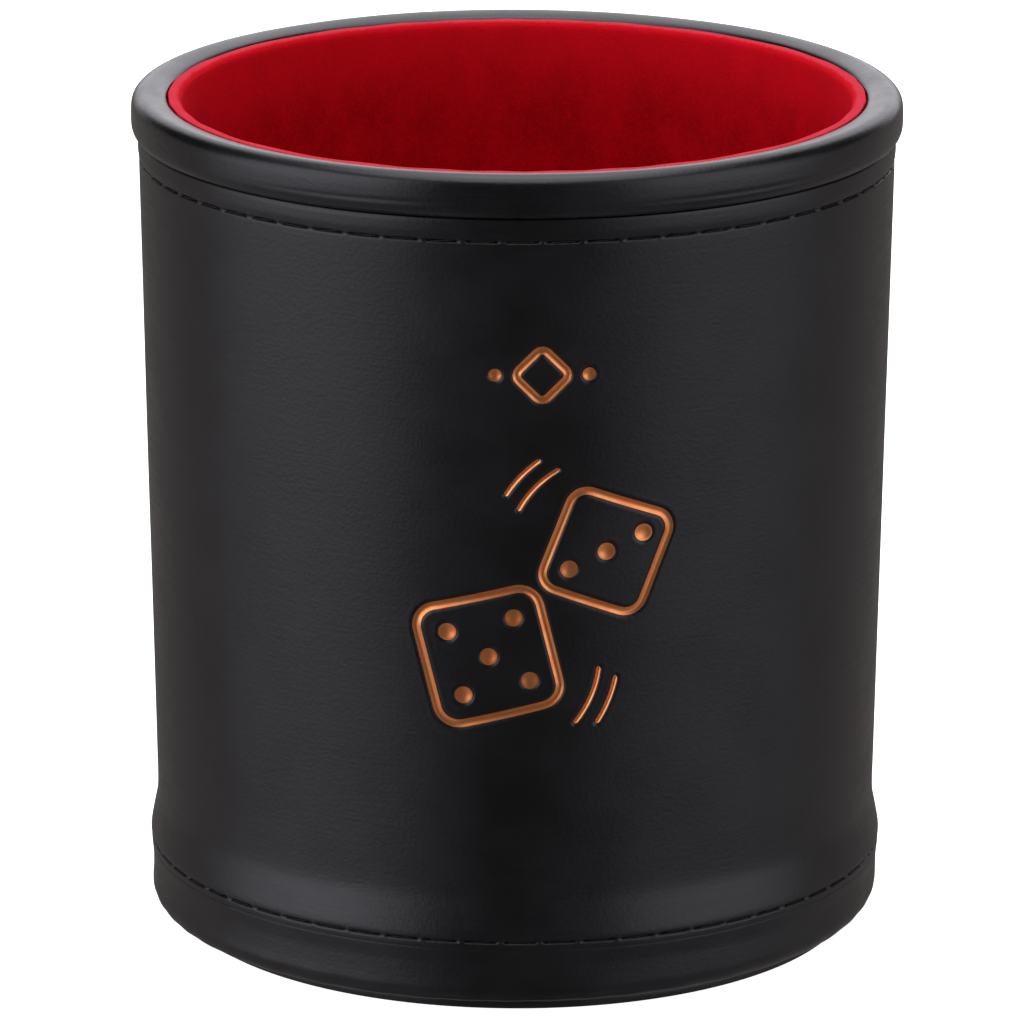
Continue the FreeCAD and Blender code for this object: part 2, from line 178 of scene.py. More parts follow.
def make_camera():
    """Long lens, a little above the rim, turned so that the emblem sits just right of the middle."""
    turn = Matrix.Rotation(math.radians(CAMERA_TURN), 3, "Z")
    tilt = Matrix.Rotation(math.radians(90 - CAMERA_DOWN), 3, "X")
    roll = Matrix.Rotation(math.radians(CAMERA_ROLL), 3, "Z")
    camera = placed("camera", bpy.data.cameras.new("camera"))
    camera.data.sensor_width = 36
    camera.data.lens = CAMERA_LENS
    camera.location = turn @ Vector(CAMERA_PLACE) * MM
    camera.rotation_euler = (turn @ tilt @ roll).to_euler()
    camera.data.clip_start = 0.01
    camera.data.clip_end = 20
    bpy.context.scene.camera = camera


# --- outlines: lists of (radius, height)
def line(start, end, step):
    count = max(1, round(math.dist(start, end) / step))
    t = np.linspace(0, 1, count + 1)[:, None]
    return (1 - t) * np.array(start) + t * np.array(end)


def arc(centre, radius, from_degrees, to_degrees, step):
    count = max(3, round(radius * abs(math.radians(to_degrees - from_degrees)) / step))
    angle = np.radians(np.linspace(from_degrees, to_degrees, count + 1))
    return np.stack([centre[0] + radius * np.cos(angle), centre[1] + radius * np.sin(angle)], axis=1)


def curve(points, step):
    """Catmull-Rom curve through a few points."""
    p = np.array([points[0], *points, points[-1]], float)
    p[0] = 2 * p[1] - p[2]
    p[-1] = 2 * p[-2] - p[-3]
    out = []
    for a, b, c, d in zip(p, p[1:], p[2:], p[3:]):
        count = max(1, round(math.dist(b, c) / step))
        for t in np.arange(count) / count:
            out.append(0.5 * (2 * b + (c - a) * t + (2 * a - 5 * b + 4 * c - d) * t ** 2
                              + (3 * b - a - 3 * c + d) * t ** 3))
    return np.array(out + [p[-2]])


def join(*parts):
    """One outline from several that run on from each other, without doubled points."""
    points = np.concatenate(parts)
    keep = np.linalg.norm(points - np.roll(points, 1, axis=0), axis=1) > 1e-4
    return points[keep]


def wall_r(z, inset=0.0):
    slope = (WALL_TOP[0] - WALL_FOOT[0]) / (WALL_TOP[1] - WALL_FOOT[1])
    return WALL_FOOT[0] + slope * (z - WALL_FOOT[1]) - inset


def tube_outer(z):
    return wall_r(z, LEATHER)


def disc_outline(radius, low, high, edge, steps):
    """Half section of a disc with round edges.  steps are the spacings below, on the edges and above."""
    side = radius - edge
    return join(line((0, low), (side, low), steps[0]),
                arc((side, low + edge), edge, -90, 0, steps[1]),
                arc((side, high - edge), edge, 0, 90, steps[1]),
                line((side, high), (0, high), steps[2]))


def by_tube(z, away):
    """A point beside the tube's outer face."""
    return tube_outer(z) + away, z


def sleeve_outer(z):
    slope = (SLEEVE_TOP_R - SLEEVE_FOOT_R) / (SLEEVE_TOP_Z - FLOOR_BOARD_TOP)
    return SLEEVE_FOOT_R + slope * (z - FLOOR_BOARD_TOP)


# --- relief: how far the skin stands out from its outline, in millimetres
def bell(x, width):
    return np.exp(-(x / width) ** 2)


def ramp(x, low, high):
    t = np.clip((x - low) / (high - low), 0, 1)
    return t * t * (3 - 2 * t)


WAVINESS = 0.035  # usual height of the waves
WAVES = ((1, 0.8), (2, 2.1), (3, 0.4), (5, 3.7), (7, 5.2), (11, 1.3))  # turns round the cup, phase


def unevenness(angle, z, amount):
    """Slow hand-made waves, the same every time.  Each wave leans to and fro with the height."""
    total = np.zeros(np.broadcast(angle, z).shape)
    for i, (turns, phase) in enumerate(WAVES):
        lean = np.sin(z / (9.0 + 4.3 * i) + 1.7 * phase)
        total = total + np.sin(turns * angle + phase + 1.3 * lean) / (1 + 0.45 * i)
    return total * amount / 2.2


def along_seam(angle, radius, count):
    """Distance from the middle of the nearest stitch, round the cup."""
    share = (angle * count / (2 * math.pi)) % 1.0
    return (share - 0.5) * 2 * math.pi * radius / count


TROUGH = 0.12  # depth of the trough that a seam draws into the leather
THREAD_BED = 0.20  # how much deeper it is under a stitch
TROUGH_WIDTH = 0.15
HOLE = 0.16
KNUCKLE = 0.11
DRAWN_IN = 0.03  # how far the leather on both sides is drawn in


def stitch_relief(u, v):
    """Leather round a stitch: a trough under the thread, a hole at each end, and between two stitches a
    small knuckle of leather.  u is measured along the seam from the stitch's middle, and v across it."""
    half = STITCH_LENGTH / 2
    under = ramp(half + 0.2 - np.abs(u), 0, 0.35)
    trough = -TROUGH * bell(v, TROUGH_WIDTH) - THREAD_BED * bell(v, TROUGH_WIDTH) * under
    holes = -HOLE * bell(np.abs(u) - half - 0.05, 0.15) * bell(v, 0.16)
    knuckle = KNUCKLE * bell(STITCH_PITCH / 2 - np.abs(u), 0.2) * bell(v - 0.05, 0.18)
    return trough + holes + knuckle - DRAWN_IN * bell(v, 0.8)


# Joints where a strip's two ends meet: depth and width of the groove, then height, distance and width
# of the swelling on both sides.
WRAP_JOINT = (0.55, 0.21, 0.08, 0.9, 0.5)
ROLL_JOINT = (0.3, 0.22, 0.05, 0.7, 0.35)
BAND_JOINT = (0.3, 0.22, 0, 0.7, 0.35)
VELVET_JOINT = (0.22, 0.3, 0.06, 0.8, 0.5)


def joint_relief(x, depth, width, swelling, away, spread):
    """Relief at a distance x from the line of a joint."""
    return -depth * bell(x, width) + swelling * bell(np.abs(x) - away, spread)


def joint_distance(angle, radius, side):
    """Distance from the joint's line on one half of the cup: side is 1 at the front and -1 at the back."""
    return np.where(side * np.cos(angle) > 0, np.sin(angle) * radius, FAR)


def back_seam_relief(angle, z):
    """Groove where the wrap's two ends meet at the back, and the row of stitches beside it."""
    x = wall_r(z) * np.sin(angle)
    low, pitch, count = BACK_ROW
    run = z - low
    in_row = (run > -0.8) & (run < pitch * count)
    row = np.where(in_row, stitch_relief(run % pitch - STITCH_LENGTH / 2, x - BACK_ROW_X), 0.0)
    return np.where(np.cos(angle) < -0.8, joint_relief(x, *WRAP_JOINT) + row, 0.0)


# --- emblem
def spun(x, z, degrees):
    a = math.radians(degrees)
    return x * math.cos(a) - z * math.sin(a), x * math.sin(a) + z * math.cos(a)


def square_distance(x, z, mark):
    """Distance from the line of a rounded square's outline."""
    cx, cz, side, corner, turn = mark
    px, pz = spun(x - cx, z - cz, -turn)
    flat = side / 2 - corner
    qx, qz = np.abs(px) - flat, np.abs(pz) - flat
    outside = np.hypot(np.maximum(qx, 0), np.maximum(qz, 0))
    return np.abs(outside + np.minimum(np.maximum(qx, qz), 0) - corner)


def arc_distance(x, z, mark):
    cx, cz, radius, start, sweep = mark
    dx, dz = spun(x - cx, z - cz, -(start + sweep / 2))
    half = math.radians(sweep / 2) - FINE_STROKE / 2 / radius
    angle = np.clip(np.arctan2(dz, dx), -half, half)
    return np.hypot(dx - radius * np.cos(angle), dz - radius * np.sin(angle))


def emblem_strokes():
    """Every mark of the emblem as (kind, place and size, half width)."""
    strokes = []
    for (x, z, side, turn), pips in ((DIE_A, FIVE), (DIE_B, THREE)):
        strokes.append(("square", (x, z, side, DIE_CORNER * side, turn), STROKE / 2))
        for i, j in pips:
            dx, dz = spun(i * PIP_SPACING * side, j * PIP_SPACING * side, turn)
            strokes.append(("dot", (x + dx, z + dz), PIP_R))
    for x, z, radius, start, sweep in TUMBLE_MARKS:
        strokes.append(("arc", (x, EMBLEM_Z + z, radius, start, sweep), FINE_STROKE / 2))
    strokes.append(("square", (0, MOTIF_Z, LOZENGE_SIDE, LOZENGE_CORNER, 45), STROKE / 2))
    for side in (-1, 1):
        strokes.append(("dot", (side * LOZENGE_DOT_X, MOTIF_Z), LOZENGE_DOT_R))
    return strokes


STROKES = emblem_strokes()


def emblem_distance(x, z):
    """Distance outside the nearest mark's edge, negative within it."""
    nearest = np.full(np.broadcast(x, z).shape, FAR)
    for kind, mark, half in STROKES:
        if kind == "square":
            gap = square_distance(x, z, mark) - half
        elif kind == "arc":
            gap = arc_distance(x, z, mark) - half
        else:
            gap = np.hypot(x - mark[0], z - mark[1]) - half
        nearest = np.minimum(nearest, gap)
    return nearest


def emblem_relief(angle, z):
    """Grooves under the emblem's marks, and the faint swelling that pressing them has left around."""
    x = wall_r(z) * np.sin(angle)
    gap = np.where(np.cos(angle) > 0.8, emblem_distance(x, z), FAR)
    return -PRESS * ramp(-gap, -0.15, 0.14) + 0.012 * bell(gap - 0.35, 0.25)


# --- making meshes
SHARP = math.radians(55)  # edges that turn more than this are shaded as corners


def on_cup(radius, angle, z):
    """Points in metres from cylindrical ones; angle 0 faces -Y."""
    return np.stack(np.broadcast_arrays(radius * np.sin(angle), -radius * np.cos(angle), z), axis=-1) * MM


def piece(name, shape, material, nodes):
    """A closed, smooth-shaded piece from (points, faces) that stands for the named CAD nodes."""
    verts, faces = shape
    mesh = bpy.data.meshes.new(name)
    mesh.from_pydata([tuple(v) for v in verts], [], faces)
    work = bmesh.new()
    work.from_mesh(mesh)
    bmesh.ops.recalc_face_normals(work, faces=work.faces)
    for edge in work.edges:
        edge.smooth = edge.calc_face_angle(0.0) < SHARP
    work.to_mesh(mesh)
    work.free()
    mesh.polygons.foreach_set("use_smooth", [True] * len(mesh.polygons))
    mesh.materials.append(material)
    made = placed(name, mesh)
    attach(made, "root")
    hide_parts(*nodes)
    return made


def merged(shapes):
    """Several shapes, (points, faces) each, as one."""
    points, faces = [], []
    for more_points, more_faces in shapes:
        faces += [tuple(v + len(points) for v in face) for face in more_faces]
        points += list(more_points)
    return np.array(points), faces


def tube(rings, closed):
    """Points and faces of a tube from rings of points, capped unless its last ring runs on to its first."""
    count, size = rings.shape[:2]
    faces = []
    for i in range(count if closed else count - 1):
        low, high = i * size, (i + 1) % count * size
        for k in range(size):
            m = (k + 1) % size
            faces.append((low + k, low + m, high + m, high + k))
    if not closed:
        faces.append(tuple(reversed(range(size))))
        faces.append(tuple(range((count - 1) * size, count * size)))
    return rings.reshape(-1, 3), faces


def outward(section):
    """Unit normals of a closed section that runs anticlockwise, (radius, height) each."""
    run = np.roll(section, -1, axis=0) - np.roll(section, 1, axis=0)
    run /= np.maximum(np.linalg.norm(run, axis=1, keepdims=True), 1e-9)
    return np.stack([run[:, 1], -run[:, 0]], axis=1)


def lathe(section, columns, relief):
    """Points and faces of a closed section turned round the cup.  relief(angle, index, point) gives how
    far each point stands out along its normal."""
    angles = np.arange(columns) * 2 * math.pi / columns - math.pi
    rings = []
    for i, (point, normal) in enumerate(zip(section, outward(section))):
        out = relief(angles, i, point)
        rings.append(on_cup(point[0] + out * normal[0], angles, point[1] + out * normal[1]))
    return tube(np.array(rings), True)


def lathe_solid(outline, columns, relief):
    """As lathe, for an outline whose first and last points are on the cup's axis."""
    angles = np.arange(columns) * 2 * math.pi / columns - math.pi
    run = np.gradient(outline, axis=0)
    run /= np.maximum(np.linalg.norm(run, axis=1, keepdims=True), 1e-9)
    verts = [np.array([[0, 0, outline[0][1]], [0, 0, outline[-1][1]]]) * MM]
    for i in range(1, len(outline) - 1):
        out = relief(angles, i, outline[i])
        radius = outline[i][0] + out * run[i][1]
        verts.append(on_cup(radius, angles, outline[i][1] - out * run[i][0]))
    verts = np.concatenate(verts)
    rings = len(outline) - 2
    faces = []
    for c in range(columns):
        d = (c + 1) % columns
        faces.append((0, 2 + d, 2 + c))
        faces.append((1, 2 + (rings - 1) * columns + c, 2 + (rings - 1) * columns + d))
        for i in range(rings - 1):
            low, high = 2 + i * columns, 2 + (i + 1) * columns
            faces.append((low + c, low + d, high + d, high + c))
    return verts, faces


# --- wall leather
SEAM_ROWS = (-1.3, -1.0, -0.75, -0.55, -0.4, -0.3, -0.2, -0.1, 0, 0.1, 0.2, 0.3, 0.4, 0.55, 0.75, 1.0, 1.3)
TOP_ROWS = (93.4, 93.7, 93.95, 94.15, 94.27, 94.35)
SWELL_STEP = 0.6
WALL_STEP = 1.5
PATCHES = (  # middle and half width in degrees, lowest and highest z, times finer
    (0, 22, 32.7, 68.7, 4, 6),
    (0, 9, 71.3, 81.8, 4, 6),
    (180, 5, 10.9, 89.4, 4, 4),
)
PINCH = (0.12, -0.5, 0.36)  # where the roll presses the wall's top edge in: depth, angle, half width


def wall_rows():
    """Rows of the wall leather's closed section as (radius, height, fine, outer)."""
    half_way = ((SWELL[0] + wall_r(SWELL_END)) / 2, 12.2)
    swell = curve([(WALL_FOOT_EDGE, WALL_LOW_Z), (43.46, 8.6), (43.49, BASE_SEAM_Z), SWELL, half_way,
                   (wall_r(14.0) + 0.1, 14.0), (wall_r(SWELL_END), SWELL_END), (wall_r(17.0), 17.0)], 0.05)
    collar = curve([(wall_r(89.0), 89.0), (wall_r(90.4), 90.4), (44.13, RIM_SEAM_Z), COLLAR,
                    (COLLAR[0], 93.4), (COLLAR[0] - 0.01, 93.95), (COLLAR[0] - 0.04, 94.22),
                    (WALL_EDGE_R + 0.44, 94.38)], 0.05)
    outline = np.concatenate([swell, collar])
    base_seam = [z for z in np.add(BASE_SEAM_Z, SEAM_ROWS) if z > WALL_LOW_Z + 0.1]
    levels = [([WALL_LOW_Z, *base_seam], True),
              (np.arange(11.1, SWELL_END, SWELL_STEP), False),
              (np.arange(SWELL_END + SWELL_STEP, 89.5, WALL_STEP), False),
              (np.add(RIM_SEAM_Z, SEAM_ROWS), True),
              (TOP_ROWS, False)]
    rows = [(np.interp(z, outline[:, 1], outline[:, 0]), z, fine, True) for run, fine in levels for z in run]
    foot = tube_outer(WALL_LOW_Z) + FLANGE + 0.04
    step = ALLOWANCE_Z - 0.3
    inner = [(WALL_EDGE_R + 0.12, COLLAR_TOP_Z - 0.03),
             (WALL_EDGE_R, COLLAR_TOP_Z),
             (tube_outer(COLLAR_TOP_Z) + ALLOWANCE + 0.03, COLLAR_TOP_Z - 0.05),
             by_tube(step, ALLOWANCE + GAP),
             by_tube(step - 0.2, GAP),
             by_tube(50.0, GAP),
             by_tube(FLANGE_TOP_Z, 0.17),
             by_tube(SWELL[1], FLANGE + GAP),
             (foot, WALL_LOW_Z + 0.1),
             (foot + 0.15, WALL_LOW_Z)]
    return rows + [(r, z, False, False) for r, z in inner]


def wall_relief(angle, z):
    rim = stitch_relief(along_seam(angle, RIM_THREAD_R, RIM_STITCHES), z - RIM_SEAM_Z)
    base = stitch_relief(along_seam(angle, BASE_THREAD_R, BASE_STITCHES), z - BASE_SEAM_Z)
    seams = np.where(np.abs(z - RIM_SEAM_Z) < 3, rim, 0) + np.where(np.abs(z - BASE_SEAM_Z) < 3, base, 0)
    depth, middle, half = PINCH
    pinch = -depth * bell(angle - middle, half) * ramp(z, 93.9, TOP_ROWS[-1])
    skin = unevenness(angle, z, WAVINESS) + seams + pinch
    return skin + back_seam_relief(angle, z) + emblem_relief(angle, z)


def column_angles(finer):
    """Angles of a row's points, which begin at the side, between the emblem and the back."""
    return np.arange(COARSE * finer) * 2 * math.pi / (COARSE * finer) - math.pi / 2


def build_wall(material):
    rows = wall_rows()
    points, ids, total = [], [], 0
    for radius, z, fine, outer in rows:
        angles = column_angles(FINE if fine else 1)
        out = wall_relief(angles, z) if outer else 0
        points.append(on_cup(radius + out, angles, z))
        ids.append(np.arange(total, total + len(angles)))
        total += len(angles)

    faces, between, covered = [], {}, set()
    for patch in PATCHES:
        grid, added = patch_grid(patch, rows, ids, total, between, covered)
        points.append(added)
        total += len(added)
        faces += grid_faces(grid)
    for i in range(len(rows)):
        a, b = ids[i], ids[(i + 1) % len(rows)]
        if len(a) != len(b):
            loops = step_in_columns(a, b)
        else:
            loops = [(a[c], a[(c + 1) % len(a)], b[(c + 1) % len(a)], b[c])
                     for c in range(len(a)) if (i, c) not in covered]
        faces += [with_between(loop, between) for loop in loops]
    shape = (np.concatenate(points).reshape(-1, 3), faces)
    made = piece("wall_wrap", shape, material, ("wall_leather",))


def grid_faces(grid):
    corners = np.stack([grid[:-1, :-1], grid[:-1, 1:], grid[1:, 1:], grid[1:, :-1]], axis=-1)
    return [tuple(loop) for loop in corners.reshape(-1, 4).tolist()]


def step_in_columns(a, b):
    """Faces between a row and one with FINE times as many columns, in either order."""
    up = len(a) < len(b)
    coarse, fine = (a, b) if up else (b, a)
    faces = []
    for c in range(len(coarse)):
        d = (c + 1) % len(coarse)
        along = [fine[(c * FINE + k) % len(fine)] for k in range(FINE + 1)]
        faces.append((coarse[c], coarse[d], *reversed(along)) if up else (*along, coarse[d], coarse[c]))
    return faces


def patch_grid(patch, rows, ids, first_id, between, covered):
    """Finer grid over one part of the wall.  It shares the coarse grid's points.  The coarse faces that
    it stands for go into covered, and the points it adds along their border into between."""
    middle, half, z_low, z_high, finer_c, finer_r = patch
    inside = [i for i, (_, z, fine, outer) in enumerate(rows) if outer and not fine and z_low < z < z_high]
    low, high = inside[0], inside[-1]
    left = (middle + 90 - half) * COARSE // 360
    right = (middle + 90 + half) * COARSE // 360
    count_r, count_c = (high - low) * finer_r, (right - left) * finer_c
    row_at = low + np.arange(count_r + 1) / finer_r
    radii = np.interp(row_at, range(len(rows)), [row[0] for row in rows])
    levels = np.interp(row_at, range(len(rows)), [row[1] for row in rows])
    angles = (left + np.arange(count_c + 1) / finer_c) * 2 * math.pi / COARSE - math.pi / 2

    grid = np.zeros((count_r + 1, count_c + 1), int)
    shared = np.zeros(grid.shape, bool)
    shared[::finer_r, ::finer_c] = True
    for i in range(0, count_r + 1, finer_r):
        grid[i, ::finer_c] = ids[low + i // finer_r][left:right + 1]
    grid[~shared] = np.arange(first_id, first_id + (~shared).sum())
    angle_grid, z_grid = np.meshgrid(angles, levels)
    added = on_cup(radii[:, None] + wall_relief(angle_grid, z_grid), angle_grid, z_grid)[~shared]

    covered.update((i, c) for i in range(low, high) for c in range(left, right))
    sides = ((grid[0], finer_c), (grid[-1], finer_c), (grid[:, 0], finer_r), (grid[:, -1], finer_r))
    for side, finer in sides:
        for k in range(0, len(side) - 1, finer):
            between[side[k], side[k + finer]] = side[k + 1:k + finer].tolist()
    return grid, added


def with_between(loop, between):
    """A face's corners with the points that a finer neighbour has put along its edges."""
    corners = []
    for a, b in zip(loop, loop[1:] + loop[:1]):
        corners.append(int(a))
        if (a, b) in between:
            corners += between[a, b]
        elif (b, a) in between:
            corners += reversed(between[b, a])
    return tuple(corners)


# --- rim
def roll_outline(inset, step):
    """The roll from its underside, up its side and over the top to the mouth."""
    return join(arc((RIM_R - ROLL_LOWER, ROLL_SIDE_Z), ROLL_LOWER - inset, -90, 0, step),
                line((RIM_R - inset, ROLL_SIDE_Z), (RIM_R - inset, HEIGHT - ROLL_OUTER), step),
                arc((RIM_R - ROLL_OUTER, HEIGHT - ROLL_OUTER), ROLL_OUTER - inset, 0, 90, step),
                arc((MOUTH_R + ROLL_INNER, HEIGHT - ROLL_INNER), ROLL_INNER - inset, 90, 180, step))


# The roll's outer face: tucked in against the collar, full at the side and rather flat on top.
ROLL_TUCK_Z = COLLAR_TOP_Z + 0.05
ROLL_SKIN = (
    (43.5, ROLL_TUCK_Z), (44.1, ROLL_TUCK_Z), (44.32, ROLL_TUCK_Z + 0.06), (44.6, 94.78), (44.86, 95.22),
    (RIM_R, 95.95), (RIM_R, 97.6), (44.88, 98.35), (44.57, 98.84), (44.1, 99.19),
    (43.4, HEIGHT), (42.6, 99.33), (41.95, 99.2), (41.42, 99.05), (41.02, 98.86),
    (40.73, 98.5), (MOUTH_R, 98.0), (MOUTH_R, 97.3),
)
# Shallow creases in the roll's side: middle in degrees, half width in radians, rise, depth, width.
ROLL_CREASES = ((36, 0.34, 0.0, 0.09, 0.17), (-24, 0.30, 0.5, 0.05, 0.2))


def build_rim(material):
    outer = curve(ROLL_SKIN, 0.2)
    thick = LEATHER - 0.05
    tail_r = wall_r(TAIL_Z, LEATHER + BOARD) - GAP
    underside = ROLL_SIDE_Z - ROLL_LOWER
    mouth_z = HEIGHT - ROLL_INNER
    section = join(outer,
                   line((MOUTH_R, mouth_z - 0.4), (MOUTH_R, TAIL_Z), 0.8),
                   line((tail_r, TAIL_Z), (MOUTH_R + thick, mouth_z - 0.1), 2.0),
                   roll_outline(thick, 0.6)[::-1],
                   line(by_tube(underside + 1, GAP), by_tube(ALLOWANCE_Z, GAP), 1.5),
                   line(by_tube(ALLOWANCE_Z, ALLOWANCE), by_tube(underside, ALLOWANCE), 1.5))

    def relief(angle, i, point):
        if i >= len(outer):
            return np.zeros_like(angle)
        radius, z = point
        crest = np.sin(math.pi * min(1.0, i / len(outer)))
        slow = unevenness(angle, z * 2.0, 0.05) * crest
        side = ramp(radius, RIM_R - ROLL_LOWER, RIM_R - 0.3) * (z < HEIGHT - ROLL_OUTER + 0.5)
        level = ROLL_SIDE_Z - 0.15 + 0.25 * np.sin(2.1 * angle + 0.6)
        creases = 0
        for middle, half, rise, depth, width in ROLL_CREASES:
            here = bell(angle - math.radians(middle), half)
            creases = creases - depth * bell(z - level - rise, width) * here
        x = joint_distance(angle, RIM_R, -1) + (z - HEIGHT) * 0.5
        outside = 1 - ramp(z, HEIGHT - 1.4, HEIGHT - 0.7) * (radius < RIM_R)
        joint = joint_relief(x, *ROLL_JOINT) * crest * outside * (radius > RIM_R - ROLL_OUTER)
        return slow + creases * side + joint

    made = piece("rim_roll", lathe(section, COARSE * 2, relief), material, ("rim_binding",))


# --- base
def build_base_cap(material):
    middle_r, middle_z = CAP_R - CAP_CORNER, CAP_FOOT_Z + CAP_CORNER
    inner = CAP_CORNER - LEATHER
    tube_r = tube_outer(middle_z) + GAP
    reach = math.degrees(math.acos((tube_r - middle_r) / inner))
    edge = 0.02
    top = WALL_LOW_Z - GAP
    outer = join(line((CAP_TURN_R, CAP_FOOT_Z), (middle_r, CAP_FOOT_Z), 1.5),
                 arc((middle_r, middle_z), CAP_CORNER, -90, 0, 0.35),
                 line((CAP_R, middle_z), (CAP_R, 6.4), 0.4),
                 line((CAP_R + 0.03, 6.8), (WALL_FOOT_EDGE, top - edge), 0.3),
                 arc((WALL_FOOT_EDGE - edge, top - edge), edge, 0, 90, 0.05))
    rest = join(line((tube_outer(8.6) + FLANGE - GAP, top), by_tube(SWELL[1], FLANGE), 1.2),
                line(by_tube(FLANGE_TOP_Z, 0.15), by_tube(FLANGE_TOP_Z, GAP), 0.2),
                line((tube_r, middle_z), (tube_r, middle_z - inner * math.sin(math.radians(reach))), 1.0),
                arc((middle_r, middle_z), inner, -reach, -90, 0.6),
                line((middle_r, CAP_FOOT_Z + LEATHER), (CAP_TURN_R, CAP_FOOT_Z + LEATHER), 2.0))
    corner_at = (middle_r + 0.7 * CAP_CORNER, middle_z - 0.7 * CAP_CORNER)

    def relief(angle, i, point):
        if i >= len(outer):
            return np.zeros_like(angle)
        z = point[1]
        joint = joint_relief(joint_distance(angle, CAP_R, -1), *BAND_JOINT)
        gathers = 0.03 * np.sin(47 * angle + 2 * np.sin(5 * angle)) * bell(z - 2.2, 1.2)
        skew = (0.10 - 0.24 * np.sin(angle)) * bell(math.dist(point, corner_at), 1.5)
        above_fold = ramp(z, CAP_FOOT_Z + 0.1, CAP_FOOT_Z + 0.5)
        return (unevenness(angle, z, WAVINESS) + joint) * ramp(z, 2.0, 5.0) + gathers + skew * above_fold

    shape = lathe(join(outer, rest), COARSE * 2, relief)
    made = piece("base_band", shape, material, ("base_cap",))


def build_base_disc(material):
    top = CAP_FOOT_Z - GAP
    outline = disc_outline(DISC_R, 0, top, 0.32, (2.0, 0.1, 4.0))

    def relief(angle, i, point):
        return unevenness(angle, 5.0, 0.06) * (0.3 < point[1] < top - 0.3)

    made = piece("base_sole", lathe_solid(outline, COARSE, relief), material, ("base_disc",))


# --- lining
LINING_FOOT = FLOOR_BOARD_TOP + GAP
LINING_JOINT_R = 39


def build_wall_lining(material):
    sleeve_r = sleeve_outer(SLEEVE_TOP_Z)
    pile_r = sleeve_r - CARD - VELVET
    hem_r = sleeve_r + HEM
    back = join(line((sleeve_outer(LINING_FOOT) - CARD - GAP, LINING_FOOT),
                     (sleeve_r - CARD - GAP, SLEEVE_TOP_Z + GAP), 6.0),
                line((sleeve_r + GAP, SLEEVE_TOP_Z + GAP), (sleeve_outer(HEM_FOOT) + GAP, HEM_FOOT), 2.0),
                line((sleeve_outer(HEM_FOOT) + HEM, HEM_FOOT), (hem_r, 97.4), 1.0))
    fold = curve([(hem_r, 97.6), (hem_r, 98.0), (hem_r + 0.05, 98.4), (hem_r + 0.1, 98.66),
                  (hem_r + 0.02, 98.84), (pile_r + 1.12, LIP_TOP_Z + 0.01), (pile_r + 0.74, 98.87),
                  (pile_r + 0.34, 98.66), (pile_r + 0.08, 98.3), (pile_r, 97.85)], 0.14)
    pile = line((pile_r, 97.5), (sleeve_outer(LINING_FOOT) - CARD - VELVET, LINING_FOOT), 1.1)

    def relief(angle, i, point):
        if i < len(back):
            return np.zeros_like(angle)
        radius, z = point
        deep = float(ramp(LIP_TOP_Z - z, 0.3, 2.5)) * (radius < pile_r + 0.4)
        seam = joint_relief(joint_distance(angle, LINING_JOINT_R, 1), *VELVET_JOINT)
        lip_wave = 0.035 * np.sin(29 * angle + 3 * np.sin(4 * angle)) * (1 - deep)
        return (unevenness(angle, z * 0.8, 0.05) + seam) * deep + lip_wave

    shape = lathe(join(back, fold, pile), COARSE, relief)
    made = piece("velvet_wall", shape, material, ("wall_lining",))


# --- floor: a foam pad and the velvet over it
PUFF = 0.8  # how far the pad's middle may rise above its rim
CLOTH_FRAMES = 20


def puffed_height():
    """Height of the padded floor above its flat rim, as a function of x and y.  The velvet over the pad
    is blown up like a cushion, with its rim held, and the rise is capped."""
    def plain(x, y):
        return 0.75 * PUFF * ramp(1 - np.hypot(x, y) / PAD_R, 0.0, 0.45)

    skin_low = FLOOR_TOP * MM - 0.7 * MM
    work = bmesh.new()
    bmesh.ops.create_cone(work, cap_ends=True, segments=96, radius1=FLOOR_R * MM, radius2=FLOOR_R * MM,
                          depth=(FLOOR_TOP - LINING_FOOT) * MM)
    bmesh.ops.translate(work, verts=work.verts, vec=(0, 0, (FLOOR_TOP + LINING_FOOT) / 2 * MM))
    mesh = bpy.data.meshes.new("puff")
    work.to_mesh(mesh)
    work.free()
    puff = placed("puff", mesh)
    bpy.context.view_layer.objects.active = puff
    puff.select_set(True)
    remesh = puff.modifiers.new("even", "REMESH")
    remesh.mode = "VOXEL"
    remesh.voxel_size = 1.5 * MM
    bpy.ops.object.modifier_apply(modifier=remesh.name)

    held = puff.vertex_groups.new(name="held")
    start = np.array([v.co for v in puff.data.vertices])
    radius = np.hypot(start[:, 0], start[:, 1]) / MM
    stays = np.flatnonzero((radius > PAD_R - 1.0) | (start[:, 2] < skin_low))
    held.add([int(i) for i in stays], 1.0, "REPLACE")
    cloth = puff.modifiers.new("cloth", "CLOTH")
    cloth.settings.quality = 6
    cloth.settings.use_pressure = True
    cloth.settings.uniform_pressure_force = 4.0
    cloth.settings.vertex_group_mass = held.name
    cloth.settings.effector_weights.gravity = 0.0
    cloth.point_cache.frame_start = 1
    cloth.point_cache.frame_end = CLOTH_FRAMES
    for frame_number in range(1, CLOTH_FRAMES + 1):
        bpy.context.scene.frame_set(frame_number)
    bpy.ops.object.modifier_apply(modifier=cloth.name)
    bpy.context.scene.frame_set(1)
    end = np.array([v.co for v in puff.data.vertices])
    top = np.flatnonzero(start[:, 2] > skin_low)
    places = KDTree(len(top))
    for i, v in enumerate(top):
        places.insert((*start[v, :2], 0), i)
    places.balance()
    rise = (end - start)[top, 2] / MM
    rise = PUFF * np.tanh(np.maximum(rise, 0) / PUFF)
    bpy.data.objects.remove(puff)

    def simulated(x, y):
        out = []
        for px, py in zip(np.ravel(x), np.ravel(y)):
            near = places.find_n((px * MM, py * MM, 0), 6)
            weights = [1 / (d + 0.2 * MM) for _, _, d in near]
            out.append(sum(w * rise[i] for w, (_, i, _) in zip(weights, near)) / sum(weights))
        return np.array(out).reshape(np.shape(x))

    return simulated


